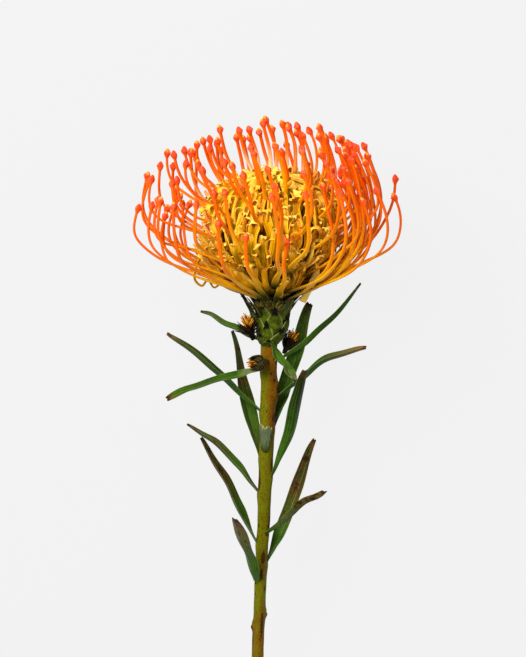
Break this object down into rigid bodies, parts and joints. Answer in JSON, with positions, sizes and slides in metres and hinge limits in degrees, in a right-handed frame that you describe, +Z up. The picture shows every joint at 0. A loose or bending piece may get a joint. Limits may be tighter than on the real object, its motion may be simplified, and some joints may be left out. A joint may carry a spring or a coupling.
{
  "type": "pincushion protea flower",
  "caption": "Cut pincushion protea: a dome of curled yellow florets ringed by long orange knobbed styles, on a woody stem with narrow leathery leaves, lying on its side.",
  "frame": {"origin": "on the resting surface, below the middle of the bounding box", "axes": "+Y along the flower from the stem's cut end to the head, +Z up from the surface, +X to the flower's right seen from above"},
  "size_m": [0.1059, 0.2997, 0.1011],
  "materials": {
    "stem_bark": "satin",
    "green_scales": "matte",
    "perianth_yellow": "satin",
    "style_orange": "satin",
    "leaf_green": "satin",
    "stub_grey": "matte",
    "dried_brown": "matte",
    "strip_yellow": "satin"
  },
  "bodies": {
    "root": {"stem": "stem_bark", "receptacle": "green_scales", "perianth_dome": "perianth_yellow", "style_01": "style_orange", "style_02": "style_orange", "style_03": "style_orange", "style_04": "style_orange", "style_05": "style_orange", "style_06": "style_orange", "style_07": "style_orange", "style_08": "style_orange", "style_09": "style_orange", "style_10": "style_orange", "style_11": "style_orange", "style_12": "style_orange", "style_13": "style_orange", "style_14": "style_orange", "style_15": "style_orange", "style_16": "style_orange", "style_17": "style_orange", "style_18": "style_orange", "style_19": "style_orange", "style_20": "style_orange", "style_21": "style_orange", "style_22": "style_orange", "style_23": "style_orange", "style_24": "style_orange", "style_25": "style_orange", "style_26": "style_orange", "style_27": "style_orange", "style_28": "style_orange", "style_29": "style_orange", "style_30": "style_orange", "style_31": "style_orange", "style_32": "style_orange", "style_33": "style_orange", "style_34": "style_orange", "style_35": "style_orange", "style_36": "style_orange", "leaf_left_1": "leaf_green", "leaf_left_2": "leaf_green", "leaf_left_3": "leaf_green", "leaf_left_4": "leaf_green", "leaf_left_5": "leaf_green", "leaf_left_6": "leaf_green", "leaf_left_7": "leaf_green", "leaf_left_8": "leaf_green", "leaf_right_1": "leaf_green", "leaf_right_2": "leaf_green", "leaf_right_3": "leaf_green", "leaf_right_4": "leaf_green", "leaf_right_5": "leaf_green", "leaf_right_6": "leaf_green", "leaf_right_7": "leaf_green", "torn_leaf_stub": "stub_grey", "dried_head_left": "dried_brown", "dried_head_right": "dried_brown", "dried_head_front": "dried_brown", "loose_perianth_strip": "strip_yellow", "loose_perianth_curl": "perianth_yellow"}
  },
  "joints": []
}
